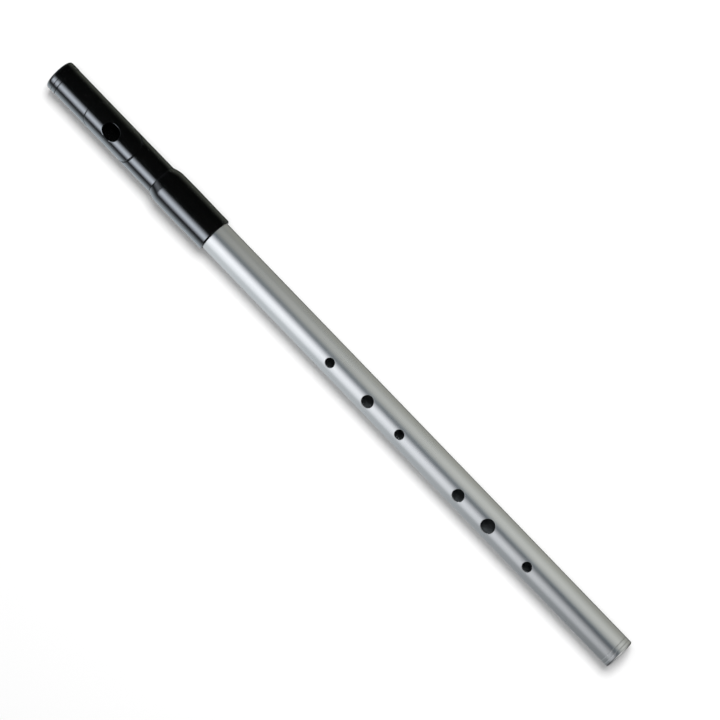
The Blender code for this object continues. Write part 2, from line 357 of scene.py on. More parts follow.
def lip_rings(edge, cos, sin):
    """Rings from the window's border over the groove round the lip area, and its inner outline.

    The groove is fine and shallow towards the crown, wider and deeper towards the foot.
    """

    def outline(offset):
        """The lip area's edge, moved out by some millimetres."""
        station = MOUTH_AT + (LIP_HALF_LENGTH + offset) * cos
        return station, LIP_HALF_ANGLE * (1 + offset / LIP_HALF_LENGTH) * sin

    footward = (1 + cos) / 2
    width, depth, slope = 0.24 + 0.32 * footward, 0.2 + 0.08 * footward, 0.05 + 0.12 * footward
    rings = rings_between(edge, outline(width), (0.3, 0.6, 0.85, 1.0), TUBE_RADIUS)
    for share, drop in LIP_GROOVE_FLOOR:
        station, angle = outline(width * share)
        rings.append(points_at(station, angle, TUBE_RADIUS - depth * drop))
    for share, drop in LIP_GROOVE_SIDE:
        station, angle = outline(-slope * share)
        top = lip_surface(angle)
        rings.append(points_at(station, angle, top - (top - TUBE_RADIUS + depth) * drop))
    return rings, outline(-0.4)


def mouth_rings(edge, lip_outline, cos, sin):
    """Rings from the lip area over the mouth hole's edge, down its wall and out along the bore."""
    oval_x, oval_y = (np.sign(part) * np.abs(part) ** MOUTH_FULLNESS for part in (cos, sin))

    def rim(offset):
        """The hole's edge on the lip area, moved out by some millimetres, and its angles."""
        x, y = (MOUTH_HALF_LENGTH + offset) * oval_x, (MOUTH_HALF_WIDTH + offset) * oval_y
        angle = np.arcsin(y / TUBE_RADIUS)
        for _ in range(5):
            angle = np.arcsin(y / lip_surface(angle))
        return x, y, angle

    x, y, angle = rim(MOUTH_ROUNDING)
    height = lip_surface(angle) * np.cos(angle)
    shares = np.linspace(0.0, 1.0, 27)
    rings = rings_between(lip_outline, (MOUTH_AT + x, angle), shares, lip_surface)
    for turn in np.radians([18, 36, 54, 72, 90]):
        x, y, _ = rim(MOUTH_ROUNDING * (1 - math.sin(turn)))
        rings.append(upright_ring(MOUTH_AT + x, y, height - MOUTH_ROUNDING * (1 - math.cos(turn))))
    bottom = np.sqrt(HEAD_BORE**2 - (MOUTH_HALF_WIDTH * MOUTH_UNDERCUT * oval_y) ** 2)
    wall_top = height - MOUTH_ROUNDING
    for share in (0.33, 0.66, 1.0):
        grow = 1 + (MOUTH_UNDERCUT - 1) * share
        x, y = MOUTH_HALF_LENGTH * grow * oval_x, MOUTH_HALF_WIDTH * grow * oval_y
        rings.append(upright_ring(MOUTH_AT + x, y, wall_top + (bottom - wall_top) * share))
    wall = MOUTH_AT + x, np.arctan2(y, bottom)
    return rings + rings_between(wall, edge, np.linspace(0.0, 1.0, 15)[1:-1], HEAD_BORE)


def make_head_tube(material):
    """The head tube with its raised lip area and the mouth hole."""
    low, high = MOUTH_AT - LIP_WINDOW_HALF_LENGTH, MOUTH_AT + LIP_WINDOW_HALF_LENGTH
    stations = np.linspace(low, high, LIP_WINDOW_CELLS_ALONG + 1)
    outer = broken_edge(HEAD_START, TUBE_RADIUS, (0.03, 0.08, 0.14))
    outer += straight(outer[-1][0], stations[0], TUBE_RADIUS)
    outer_row = len(outer)
    outer += [(s, TUBE_RADIUS) for s in stations]
    shoulder = broken_edge(HEAD_SHOULDER, TUBE_RADIUS, (-0.04, -0.1, -0.17))[::-1]
    outer += straight(stations[-1], shoulder[0][0], TUBE_RADIUS) + shoulder
    outer += [(HEAD_SHOULDER, HEAD_SPIGOT)]
    outer += [(HEAD_END - 0.2, HEAD_SPIGOT), (HEAD_END, HEAD_SPIGOT - 0.2)]
    inner = [(HEAD_END, HEAD_BORE)] + straight(HEAD_END, stations[-1], HEAD_BORE)
    inner_row = len(outer) + len(inner)
    inner += [(s, HEAD_BORE) for s in stations[::-1]]
    inner += straight(stations[0], HEAD_START, HEAD_BORE) + [(HEAD_START, HEAD_BORE)]
    around = LIP_WINDOW_CELLS_ROUND
    window = Window(outer_row, inner_row, LIP_WINDOW_CELLS_ALONG, -around // 2, around)
    skin, rows = turned(outer + inner, True, windows=[window])

    phi, u, v = window.directions()
    edge = MOUTH_AT + LIP_WINDOW_HALF_LENGTH * u, around * math.pi / SEGMENTS * v
    cos, sin = np.cos(phi), np.sin(phi)
    rings, lip_outline = lip_rings(edge, cos, sin)
    fill_window(skin, rows, window, rings + mouth_rings(edge, lip_outline, cos, sin))
    plain = (TUBE_RADIUS, HEAD_BORE)
    return finished("headjoint", skin, "head", "head_tube", material, plain)


def set_finger_hole(skin, rows, window, station, diameter, half_length):
    """Fills a window of the body tube with a round hole whose edge is broken."""
    phi, u, v = window.directions()
    cos, sin = np.cos(phi), np.sin(phi)
    half_angle = window.cells_round * math.pi / SEGMENTS
    edge = station + half_length * u, HOLE_ANGLE + half_angle * v
    rim_angle = np.arcsin(diameter / 2 * sin / TUBE_RADIUS)
    rim = station + diameter / 2 * cos, HOLE_ANGLE + rim_angle
    rings = rings_between(edge, rim, (0.2, 0.4, 0.6, 0.8, 1.0), TUBE_RADIUS)
    height = TUBE_RADIUS * np.cos(rim_angle)
    for turn in np.radians([22.5, 45, 67.5, 90]):
        reach = diameter / 2 - HOLE_ROUNDING * math.sin(turn)
        low = height - HOLE_ROUNDING * (1 - math.cos(turn))
        rings.append(upright_ring(station + reach * cos, reach * sin, low, HOLE_ANGLE))
    wall = diameter / 2 - HOLE_ROUNDING
    bottom = np.sqrt(BODY_BORE**2 - (wall * sin) ** 2)
    foot = station + wall * cos, HOLE_ANGLE + np.arctan2(wall * sin, bottom)
    rings += rings_between(foot, edge, (0.0, 0.33, 0.66), BODY_BORE)
    fill_window(skin, rows, window, rings)


def make_body_tube(material):
    """The body tube: tenon with ring grooves, six finger holes, two lines at the foot."""
    outer = [(BODY_START, TUBE_RADIUS - 0.2), (BODY_START + 0.2, TUBE_RADIUS)]
    for station in RING_STATIONS:
        start, end, floor = station - 0.4, station + 0.4, TUBE_RADIUS - 0.5
        outer += straight(outer[-1][0], start, TUBE_RADIUS)
        outer += [(start, TUBE_RADIUS), (start, floor), (end, floor), (end, TUBE_RADIUS)]
    windows, holes, last = [], [], outer[-1][0]
    step = math.tau / SEGMENTS
    for station, diameter in FINGER_HOLES:
        cells = 2 * round((math.asin(diameter / 2 / TUBE_RADIUS) + math.radians(9)) / step)
        half_length = cells / 2 * step * TUBE_RADIUS
        stations = np.linspace(station - half_length, station + half_length, cells + 1)
        outer += straight(last, stations[0], TUBE_RADIUS)
        holes.append((len(outer), cells, stations, station, diameter, half_length))
        outer += [(s, TUBE_RADIUS) for s in stations]
        last = stations[-1]
    for station in FOOT_LINES:
        outer += straight(last, station - 0.17, TUBE_RADIUS) + line_groove(station, TUBE_RADIUS)
        last = station + 0.17
    outer += arc((LENGTH - FOOT_CORNER[0], TUBE_RADIUS - FOOT_CORNER[1]), FOOT_CORNER, 90, 0, 14)
    inner = [(LENGTH, BODY_BORE + 0.1), (LENGTH - 0.1, BODY_BORE)]
    for outer_row, cells, stations, station, diameter, half_length in reversed(holes):
        inner += straight(inner[-1][0], stations[-1], BODY_BORE, 8.0)
        first = -cells // 2
        windows.append(Window(outer_row, len(outer) + len(inner), cells, first, cells))
        inner += [(s, BODY_BORE) for s in stations[::-1]]
    inner += straight(inner[-1][0], BODY_START, BODY_BORE, 8.0) + [(BODY_START, BODY_BORE)]
    skin, rows = turned(outer + inner, True, turn=HOLE_ANGLE, windows=windows)
    for window, hole in zip(windows, reversed(holes)):
        set_finger_hole(skin, rows, window, hole[3], hole[4], hole[5])
    name, plain = "body_tube_drawn", (TUBE_RADIUS, BODY_BORE)
    return finished(name, skin, "body", "body_tube", material, plain)


def make_crown(material):
    """The end cap: rounded disc with a turned line, spigot and blind hole."""
    corner = CROWN_RADIUS - CROWN_TAPER - CROWN_CORNER[1]
    profile = [(0.0, 0.0), (0.0, 2.0), (0.0, 4.0)]
    profile += arc((CROWN_CORNER[0], corner), CROWN_CORNER, 180, 90, 16)
    profile += [(CROWN_CORNER[0] + 0.1, CROWN_RADIUS - 0.052)]
    profile += [(CROWN_LINE_AT - 0.5, CROWN_RADIUS - 0.035)]
    profile += [(CROWN_LINE_AT - 0.2, CROWN_RADIUS - 0.0305)]
    profile += cut_groove(CROWN_LINE_AT, CROWN_RADIUS - 0.03, 0.14, 0.2)
    profile += [(CROWN_LINE_AT + 0.2, CROWN_RADIUS - 0.0295), (CROWN_END - 0.8, CROWN_RADIUS)]
    profile += [(CROWN_END - 0.2, CROWN_RADIUS)]
    profile += broken_edge(CROWN_END, CROWN_RADIUS, (-0.03, -0.08, -0.15))[::-1]
    profile += [(CROWN_END, 5.6), (CROWN_END, CROWN_SPIGOT)]
    profile += [(CROWN_SPIGOT_END - 0.2, CROWN_SPIGOT), (CROWN_SPIGOT_END, CROWN_SPIGOT - 0.2)]
    profile += [(CROWN_SPIGOT_END, SCREW_HOLE + 0.2), (CROWN_SPIGOT_END - 0.2, SCREW_HOLE)]
    profile += [(SCREW_HOLE_END, SCREW_HOLE), (SCREW_HOLE_END, 0.0)]
    skin, _ = turned(profile, False)
    return finished("crown_cap", skin, "crown", "crown", material)


def half_wave(share):
    """Rises smoothly from 0 to 1 as share does, and stays there."""
    return (1 - math.cos(math.pi * min(max(share, 0.0), 1.0))) / 2


def sleeve_radius(station):
    """The sleeve's outer radius: a flare that eases out and a slight belly, as in the CAD."""
    flared = (station - SLEEVE_START) / (SLEEVE_FLARE_END - SLEEVE_START)
    rise = math.sin(math.pi / 2 * min(flared, 1.0))
    if station < SLEEVE_BELLY_AT:
        belly = half_wave((station - SLEEVE_START) / (SLEEVE_BELLY_AT - SLEEVE_START))
    else:
        belly = half_wave((SLEEVE_BELLY_END - station) / (SLEEVE_BELLY_END - SLEEVE_BELLY_AT))
    return TUBE_RADIUS + (SLEEVE_RADIUS - TUBE_RADIUS) * rise + SLEEVE_BELLY * belly


def make_sleeve(material):
    """The socket sleeve: flare, slightly bellied wall, rounded mouth and the socket inside."""
    lip_start = SLEEVE_END - SLEEVE_LIP[0]
    stations = list(np.linspace(SLEEVE_START, SLEEVE_FLARE_END, 29))
    stations += list(np.linspace(SLEEVE_FLARE_END, SLEEVE_BELLY_AT, 16))[1:]
    stations += list(np.linspace(SLEEVE_BELLY_AT, lip_start, 31))[1:-1]
    outer = [(SLEEVE_START, TUBE_RADIUS - 0.12), (SLEEVE_START + 0.03, TUBE_RADIUS - 0.05)]
    outer += [(station, sleeve_radius(station)) for station in stations[1:]]
    outer += arc((lip_start, SLEEVE_RADIUS - SLEEVE_LIP[1]), SLEEVE_LIP, 90, 0, 12)
    inner = [(SLEEVE_END, SOCKET_RADIUS + 0.2), (SLEEVE_END - 0.2, SOCKET_RADIUS)]
    inner += [(SOCKET_START, SOCKET_RADIUS), (SOCKET_START, SLEEVE_NECK)]
    inner += [(SLEEVE_START, SLEEVE_NECK)]
    skin, _ = turned(outer + inner, True)
    return finished("sleeve", skin, "head", "socket_sleeve", material)


def make_sealing_ring(number, station, material):
    """A rubber ring in its groove."""
    section = arc((station, 6.3), (0.35, 0.25), 180, -180, 20)[:-1]
    skin, _ = turned(section, True)
    name, node = f"sealing_ring_{number}", f"tenon_ring_{number}"
    return finished(name, skin, "seal_rings", node, material)


def make_screw(material):
    """The stopper's threaded rod: a helical thread as real geometry."""
    start, end, radius, depth, pitch = 3.45, 23.55, 1.5, 0.27, 0.5
    segments = 48
    skin = Skin()
    angles = np.arange(segments) * math.tau / segments
    stations = np.arange(start, end + 1e-6, pitch / 8)
    rows = []
    for station in stations:
        phase = (station / pitch - angles / math.tau) % 1.0
        crest = np.clip(np.abs(2 * phase - 1) * 1.25 - 0.1, 0, 1)
        lead = max(0.0, min(1.0, (station - start) / 0.4, (end - station) / 0.4))
        rows.append(skin.add(points_at(station, angles, radius - depth * (1 - crest * lead))))
    for row, after in zip(rows, rows[1:]):
        skin.bridge(row, after)
    for row, station in ((rows[0], stations[0]), (rows[-1], stations[-1])):
        middle = skin.add(points_at(np.array([station]), np.array([0.0]), np.array([0.0])))
        skin.bridge(row, np.repeat(middle, segments))
    return finished("threaded_rod", skin, "stopper", "stopper_screw", material)


def make_nut(material):
    """The round nut, knurled on its rim."""
    start, end, radius, teeth = 10.9, 12.9, 4.3, 64
    segments = teeth * 4
    skin = Skin()
    angles = np.arange(segments) * math.tau / segments
    tooth = np.abs((np.arange(segments) / 4) % 1 - 0.5) * 2
    rows = []
    for station, top, knurl in (
        (start, SCREW_HOLE, 0.0),
        (start, 2.6, 0.0),
        (start, radius - 0.35, 0.0),
        (start + 0.12, radius - 0.2, 0.0),
        (start + 0.3, radius, 0.16),
        (end - 0.3, radius, 0.16),
        (end - 0.12, radius - 0.2, 0.0),
        (end, radius - 0.35, 0.0),
        (end, SCREW_HOLE, 0.0),
    ):
        rows.append(skin.add(points_at(station, angles, top - knurl * tooth)))
    for row, after in zip(rows, rows[1:] + rows[:1]):
        skin.bridge(row, after)
    return finished("knurled_nut", skin, "stopper", "stopper_nut", material)


def make_cork(material):
    """The stopper's cork, a little crowned."""
    start, end = 12.95, 21.95
    profile = []
    for i in range(13):
        share = i / 12
        bulge = 4.58 + 0.08 * math.sin(math.pi * share)
        profile.append((start + (end - start) * share, bulge))
    profile[0] = (start, 4.45)
    profile[-1] = (end, 4.45)
    profile.insert(1, (start + 0.12, 4.57))
    profile.insert(-1, (end - 0.12, 4.57))
    profile += [(end, SCREW_HOLE), (start, SCREW_HOLE)]
    skin, _ = turned(profile, True, segments=96)
    return finished("stopper_cork_turned", skin, "stopper", "stopper_cork", material)


def make_plate(material):
    """The stopper's facing plate, with a blind socket for the rod."""
    back, face, radius = 23.0, 24.2, 4.6
    profile = [(back + 0.6, 0.0), (back + 0.6, 1.55), (back, 1.55)]
    profile += [(back, radius - 0.15), (back + 0.15, radius), (face - 0.25, radius)]
    profile += arc((face - 0.25, radius - 0.25), (0.25, 0.25), 90, 0, 6)
    profile += [(face, 2.2), (face, 0.0)]
    skin, _ = turned(profile, False, segments=96)
    return finished("facing_plate", skin, "stopper", "stopper_plate", material)


# ------------------------------------------------------------- materials


def map_range(tree, value, low, high, to_low, to_high):
    """A node that brings a value from one range to another."""
    node = tree.nodes.new("ShaderNodeMapRange")
    limits = {"From Min": low, "From Max": high, "To Min": to_low, "To Max": to_high}
    for key, number in limits.items():
        node.inputs[key].default_value = number
    tree.links.new(value, node.inputs["Value"])
    return node


class Nodes:
    """Short ways to add shader nodes to a material."""

    def __init__(self, name, roughness, metallic=0.0):
        self.material = bpy.data.materials.new(name)
        self.material.use_nodes = True
        self.tree = self.material.node_tree
        self.shader = self.tree.nodes["Principled BSDF"]
        self.shader.inputs["Metallic"].default_value = metallic
        self.shader.inputs["Roughness"].default_value = roughness
        self.place = self.tree.nodes.new("ShaderNodeTexCoord")

    def link(self, output, target):
        self.tree.links.new(output, target)

    def scaled(self, scale):
        """Object coordinates in millimetres, stretched."""
        node = self.tree.nodes.new("ShaderNodeMapping")
        node.inputs["Scale"].default_value = [s / MM for s in scale]
        self.link(self.place.outputs["Object"], node.inputs["Vector"])
        return node.outputs["Vector"]

    def bore_shade_mask(self, start, end):
        """1 inside the tube's wall between two stations, 0 on its outside and beyond them: where
        the bore's painted shade goes.
        """
        parts = self.tree.nodes.new("ShaderNodeSeparateXYZ")
        self.link(self.place.outputs["Object"], parts.inputs["Vector"])
        first, last = (START_X + station * MM for station in (start, end))
        after = self.ramp(parts.outputs["X"], first, first + 0.0003, 0.0, 1.0)
        before = self.ramp(parts.outputs["X"], last - 0.0003, last, 1.0, 0.0)
        inside = self.ramp(self.from_axis(), 6.35, 6.05, 0.0, 1.0)
        return self.math("MULTIPLY", inside, self.math("MULTIPLY", after, before))

    def from_axis(self):
        """Distance from the instrument's axis in millimetres."""
        place = self.tree.nodes.new("ShaderNodeVectorMath")
        place.operation = "MULTIPLY_ADD"
        place.inputs[1].default_value = (0.0, 1 / MM, 1 / MM)
        place.inputs[2].default_value = (0.0, 0.0, -AXIS_Z / MM)
        self.link(self.place.outputs["Object"], place.inputs[0])
        length = self.tree.nodes.new("ShaderNodeVectorMath")
        length.operation = "LENGTH"
        self.link(place.outputs["Vector"], length.inputs[0])
        return length.outputs["Value"]

    def noise(self, scale, detail=3.0, roughness=0.5):
        node = self.tree.nodes.new("ShaderNodeTexNoise")
        node.inputs["Scale"].default_value = 1.0
        node.inputs["Detail"].default_value = detail
        node.inputs["Roughness"].default_value = roughness
        self.link(self.scaled(scale), node.inputs["Vector"])
        return node.outputs["Fac"]

    def cells(self, scale, feature="F1"):
        node = self.tree.nodes.new("ShaderNodeTexVoronoi")
        node.feature = feature
        node.inputs["Scale"].default_value = 1.0
        self.link(self.scaled(scale), node.inputs["Vector"])
        return node.outputs["Distance"]

    def ramp(self, value, low, high, to_low, to_high):
        """The value brought from one range to another and held within it."""
        return map_range(self.tree, value, low, high, to_low, to_high).outputs["Result"]

    def mixed(self, factor, first, second):
        """A colour between two."""
        node = self.tree.nodes.new("ShaderNodeMix")
        node.data_type = "RGBA"
        for key, colour in (("A", first), ("B", second)):
            socket = next(s for s in node.inputs if s.name == key and s.type == "RGBA")
            if isinstance(colour, tuple):
                socket.default_value = (*colour, 1.0)
            else:
                self.link(colour, socket)
        self.link(factor, next(s for s in node.inputs if s.name == "Factor" and s.type == "VALUE"))
        return next(s for s in node.outputs if s.type == "RGBA")

    def math(self, operation, first, second):
        node = self.tree.nodes.new("ShaderNodeMath")
        node.operation = operation
        for socket, value in zip(node.inputs, (first, second)):
            if isinstance(value, (int, float)):
                socket.default_value = value
            else:
                self.link(value, socket)
        return node.outputs["Value"]

    def bump(self, height, distance_mm, normal=None):
        node = self.tree.nodes.new("ShaderNodeBump")
        node.inputs["Strength"].default_value = 1.0
        node.inputs["Distance"].default_value = distance_mm * MM
        self.link(height, node.inputs["Height"])
        if normal is not None:
            self.link(normal, node.inputs["Normal"])
        return node.outputs["Normal"]

    def finish(self, colour=None, roughness=None, normal=None):
        for key, value in (("Base Color", colour), ("Roughness", roughness), ("Normal", normal)):
            if value is not None:
                self.link(value, self.shader.inputs[key])
        return self.material


def black_polymer():
    """Turned and polished black polymer: faint lathe rings, an uneven sheen and few hairlines.

    The head's bore gets less sheen, painted shade so that the mouth hole looks black.
    """
    n = Nodes("black_polymer", 0.22)
    n.shader.inputs["IOR"].default_value = 1.5
    clouds = n.noise((0.12, 0.12, 0.12))
    fine = n.noise((1.6, 1.6, 1.6), 4.0)
    rings = n.noise((9.0, 0.05, 0.05), 2.0)
    scratches = n.noise((0.35, 7.0, 7.0), 1.0)
    darker, lighter = (0.0006, 0.0007, 0.0007), (0.0014, 0.0015, 0.0015)
    colour = n.mixed(n.ramp(fine, 0.3, 0.7, 0, 1), darker, lighter)
    unevenness = n.ramp(rings, 0.35, 0.65, -0.015, 0.02)
    rough = n.math("ADD", n.ramp(clouds, 0.3, 0.7, 0.14, 0.17), unevenness)
    # painted shade: almost no sheen inside the head's bore, so the mouth hole looks black
    sheen = n.ramp(n.bore_shade_mask(HEAD_START + 0.5, HEAD_SHOULDER), 0.0, 1.0, 0.5, 0.03)
    n.link(sheen, n.shader.inputs["Specular IOR Level"])
    normal = n.bump(rings, 0.0012)
    normal = n.bump(fine, 0.0009, normal)
    normal = n.bump(n.ramp(scratches, 0.62, 0.72, 0, 1), 0.0006, normal)
    return n.finish(colour, rough, normal)


def satin_aluminium():
    """Drawn aluminium with a satin anodised skin: lengthwise grain, fine tooth, soft staining.

    The bore is drawn dark and dull as painted shade, so that the finger holes look black.
    """
    n = Nodes("satin_aluminium", 0.3, 1.0)
    clouds = n.noise((0.03, 0.12, 0.12), 2.0)
    grain = n.noise((0.25, 9.0, 9.0), 4.0, 0.6)
    tooth = n.noise((7.0, 7.0, 7.0), 2.0)
    colour = n.mixed(n.ramp(clouds, 0.3, 0.7, 0, 1), (0.74, 0.745, 0.75), (0.80, 0.80, 0.795))
    colour = n.mixed(n.ramp(grain, 0.3, 0.7, 0.0, 0.12), colour, (0.55, 0.56, 0.57))
    unevenness = n.ramp(grain, 0.3, 0.7, -0.02, 0.02)
    rough = n.math("ADD", n.ramp(clouds, 0.3, 0.7, 0.28, 0.31), unevenness)
    # painted shade: the bore is darkened, made non-metallic and duller, so the finger holes look
    # black
    inside = n.bore_shade_mask(BODY_START, LENGTH - 3.0)
    colour = n.mixed(inside, colour, (0.045, 0.05, 0.053))
    n.link(n.ramp(inside, 0.0, 1.0, 1.0, 0.0), n.shader.inputs["Metallic"])
    n.link(n.ramp(inside, 0.0, 1.0, 0.5, 0.1), n.shader.inputs["Specular IOR Level"])
    rough = n.math("ADD", rough, n.math("MULTIPLY", inside, 0.3))
    normal = n.bump(grain, 0.0015)
    normal = n.bump(tooth, 0.0012, normal)
    return n.finish(colour, rough, normal)


def brass():
    """Turned brass, slightly tarnished."""
    n = Nodes("brass", 0.28, 1.0)
    clouds = n.noise((0.5, 0.5, 0.5))
    rings = n.noise((0.1, 6.0, 6.0), 2.0)
    colour = n.mixed(n.ramp(clouds, 0.35, 0.7, 0, 1), (0.68, 0.5, 0.2), (0.42, 0.3, 0.13))
    rough = n.ramp(clouds, 0.3, 0.7, 0.22, 0.4)
    return n.finish(colour, rough, n.bump(rings, 0.003))


def steel():
    """Threaded steel rod, its tone and dullness varying in soft clouds."""
    n = Nodes("steel", 0.35, 1.0)
    clouds = n.noise((0.7, 2.0, 2.0))
    colour = n.mixed(n.ramp(clouds, 0.35, 0.7, 0, 1), (0.5, 0.5, 0.51), (0.3, 0.3, 0.3))
    pitting = n.bump(n.noise((6.0, 6.0, 6.0)), 0.002)
    return n.finish(colour, n.ramp(clouds, 0.3, 0.7, 0.28, 0.48), pitting)


def cork():
    """Natural cork: pale grain with dark pores."""
    n = Nodes("cork", 0.85)
    cell = n.cells((1.7, 1.7, 1.7))
    blotch = n.noise((0.5, 0.9, 0.9), 5.0, 0.65)
    pores = n.ramp(n.noise((1.1, 2.2, 2.2), 3.0), 0.60, 0.68, 0, 1)
    colour = n.mixed(n.ramp(blotch, 0.3, 0.7, 0, 1), (0.52, 0.33, 0.17), (0.36, 0.21, 0.10))
    colour = n.mixed(n.ramp(cell, 0.0, 0.8, 0.35, 0.0), colour, (0.22, 0.12, 0.055))
    colour = n.mixed(pores, colour, (0.05, 0.025, 0.012))
    normal = n.bump(pores, -0.06, n.bump(cell, 0.03))
    return n.finish(colour, n.ramp(blotch, 0.3, 0.7, 0.78, 0.92), normal)


def rubber():
    """Black nitrile rubber with a greased, finely pebbled skin."""
    n = Nodes("rubber", 0.5)
    fine = n.noise((4.0, 4.0, 4.0), 3.0)
    clouds = n.noise((0.6, 0.6, 0.6))
    colour = n.mixed(n.ramp(clouds, 0.3, 0.7, 0, 1), (0.012, 0.012, 0.013), (0.024, 0.024, 0.025))
    return n.finish(colour, n.ramp(clouds, 0.3, 0.7, 0.42, 0.6), n.bump(fine, 0.006))


# ---------------------------------------------------------------- studio

CAMERA_DISTANCE = 1.23
CAMERA_LENS = 162.5
CAMERA_LEAN = math.radians(9.4)  # from straight above towards +Y
CAMERA_TILT = math.radians(4.6)  # from square-on towards the foot
CAMERA_ROLL = math.radians(46.0)
TARGET_X = 0.0059
TARGET_ACROSS = 0.0068

FLOOR_HALF_WIDTH = 6.0
FLOOR_LIGHT = 1.3  # light on the open floor, where 1 makes a white sheet just white
FILL_SHARE = 0.16  # the part of it that comes from all round
OVERHEAD_DISTANCE = 1.6

PANEL_DISTANCE = 0.6
FULL_SPAN = (-1.1, 0.7)  # of a panel that passes both ends of the instrument
NEUTRAL = (1.0, 1.0, 1.0)
COOL = (0.9, 0.98, 1.09)
COOLER = (0.88, 0.98, 1.12)


def camera_axes():
    """The picture's axes: across the tube, along it, and back towards the camera."""
    above = Vector((0.0, math.sin(CAMERA_LEAN), math.cos(CAMERA_LEAN)))
    across = Vector((0.0, math.cos(CAMERA_LEAN), -math.sin(CAMERA_LEAN)))
    lengthwise = Vector((1.0, 0.0, 0.0))
    back = math.cos(CAMERA_TILT) * above + math.sin(CAMERA_TILT) * lengthwise
    along = math.cos(CAMERA_TILT) * lengthwise - math.sin(CAMERA_TILT) * above
    return across, along, back


def make_camera():
    """The photo's point of view."""
    across, along, back = camera_axes()
    target = Vector((TARGET_X, 0.0, AXIS_Z)) + TARGET_ACROSS * across
    right = math.cos(CAMERA_ROLL) * along + math.sin(CAMERA_ROLL) * across
    up = -math.sin(CAMERA_ROLL) * along + math.cos(CAMERA_ROLL) * across
    data = bpy.data.cameras.new("camera")
    data.lens = CAMERA_LENS
    data.sensor_width = 36.0
    data.clip_start, data.clip_end = 0.01, 20.0
    camera = bpy.data.objects.new("camera", data)
    bpy.context.scene.collection.objects.link(camera)
    turn = Matrix((right, up, back)).transposed()
    camera.matrix_world = Matrix.Translation(target + CAMERA_DISTANCE * back) @ turn.to_4x4()
    bpy.context.scene.camera = camera


def make_floor():
    """A plain pale sheet under the instrument, out of its reflections."""
    mesh = bpy.data.meshes.new("floor")
    half = FLOOR_HALF_WIDTH
    corners = [(-half, -half, 0.0), (half, -half, 0.0), (half, half, 0.0), (-half, half, 0.0)]
    mesh.from_pydata(corners, [], [(0, 1, 2, 3)])
    floor = bpy.data.objects.new("floor", mesh)
    bpy.context.scene.collection.objects.link(floor)
    material = bpy.data.materials.new("floor_paper")
    material.use_nodes = True
    shader = material.node_tree.nodes["Principled BSDF"]
    shader.inputs["Base Color"].default_value = (0.9, 0.9, 0.9, 1.0)
    shader.inputs["Roughness"].default_value = 0.95
    shader.inputs["Specular IOR Level"].default_value = 0.0
    mesh.materials.append(material)
    floor.visible_glossy = False
    floor.visible_shadow = False


def smooth_edges(tree, place, softness):
    """Shader node output that rises from 0 at both ends of a 0 to 1 span, smoothly."""
    shares = []
    for limits in ((0.0, softness, 0.0, 1.0), (1.0 - softness, 1.0, 1.0, 0.0)):
        node = map_range(tree, place, *limits)
        node.interpolation_type = "SMOOTHSTEP"
        shares.append(node.outputs["Result"])
    return multiplied(tree, *shares)


def multiplied(tree, first, second):
    node = tree.nodes.new("ShaderNodeMath")
    node.operation = "MULTIPLY"
    tree.links.new(first, node.inputs[0])
    tree.links.new(second, node.inputs[1])
    return node.outputs["Value"]


def soft_panel(name, receivers, psi, half_width, level, span, softness, colour, turn=0.0, lean=0.0):
    """A panel light along the tube that only shows as a reflection, on the receivers.

    psi is its direction round the tube from the camera's, towards the far side, half_width half
    of what it spans there, turn how far it is swung in its own plane and lean how far it is
    swung on towards the foot, all in degrees. level is its brightness where white is 1, and
    span its ends along the tube. softness is the share of its width, and of its length, over
    which it fades at each edge.
    """
    lengthwise = Vector((1.0, 0.0, 0.0))
    up = Vector((0.0, math.sin(CAMERA_LEAN), math.cos(CAMERA_LEAN)))
    far_side = up.cross(lengthwise)
    angle, swing, tip = math.radians(psi), math.radians(turn), math.radians(lean)
    upright = math.cos(angle) * up + math.sin(angle) * far_side
    across = upright.cross(lengthwise)
    back = math.cos(tip) * upright + math.sin(tip) * lengthwise
    along = math.cos(tip) * lengthwise - math.sin(tip) * upright
    width, length = 2 * PANEL_DISTANCE * math.tan(math.radians(half_width)), span[1] - span[0]
    data = bpy.data.lights.new(name, "AREA")
    data.shape = "RECTANGLE"
    data.size, data.size_y = length, width
    data.energy = level * math.pi * length * width
    data.color = colour
    data.use_nodes = True
    tree = data.node_tree
    where = tree.nodes.new("ShaderNodeNewGeometry")
    parts = tree.nodes.new("ShaderNodeSeparateXYZ")
    tree.links.new(where.outputs["Parametric"], parts.inputs["Vector"])
    fade = multiplied(
        tree,
        smooth_edges(tree, parts.outputs["Y"], softness[0]),
        smooth_edges(tree, parts.outputs["X"], softness[1]),
    )
    tree.links.new(fade, tree.nodes["Emission"].inputs["Strength"])
    light = bpy.data.objects.new(name, data)
    bpy.context.scene.collection.objects.link(light)
    sides = (
        math.cos(swing) * along + math.sin(swing) * across,
        math.cos(swing) * across - math.sin(swing) * along,
        back,
    )
    place = Vector((0.0, 0.0, AXIS_Z)) + sum(span) / 2 * along + PANEL_DISTANCE * back
    light.matrix_world = Matrix.Translation(place) @ Matrix(sides).transposed().to_4x4()
    light.visible_camera = False
    light.visible_diffuse = False
    light.light_linking.receiver_collection = receivers


def gathered(name, pieces):
    """A collection of the pieces that some lights are kept to."""
    collection = bpy.data.collections.new(name)
    for piece in pieces:
        collection.objects.link(piece)
    return collection


def overhead_light(name, lean, swing, half_angle, share):
    """A soft square light on the floor and the pieces' own colour, out of the reflections.

    lean and swing tip it towards the far side and the foot, and half_angle is half of what it
    spans, in degrees. share is its part of the floor's brightness.
    """
    back = Vector((math.tan(math.radians(swing)), math.tan(math.radians(lean)), 1.0)).normalized()
    data = bpy.data.lights.new(name, "AREA")
    data.shape = "SQUARE"
    data.size = 2 * OVERHEAD_DISTANCE * math.tan(math.radians(half_angle))
    data.energy = share * FLOOR_LIGHT * math.pi**2 * OVERHEAD_DISTANCE**2 / back.z
    light = bpy.data.objects.new(name, data)
    bpy.context.scene.collection.objects.link(light)
    light.location = OVERHEAD_DISTANCE * back
    light.rotation_euler = back.to_track_quat("Z", "Y").to_euler()
    light.visible_camera = False
    light.visible_glossy = False


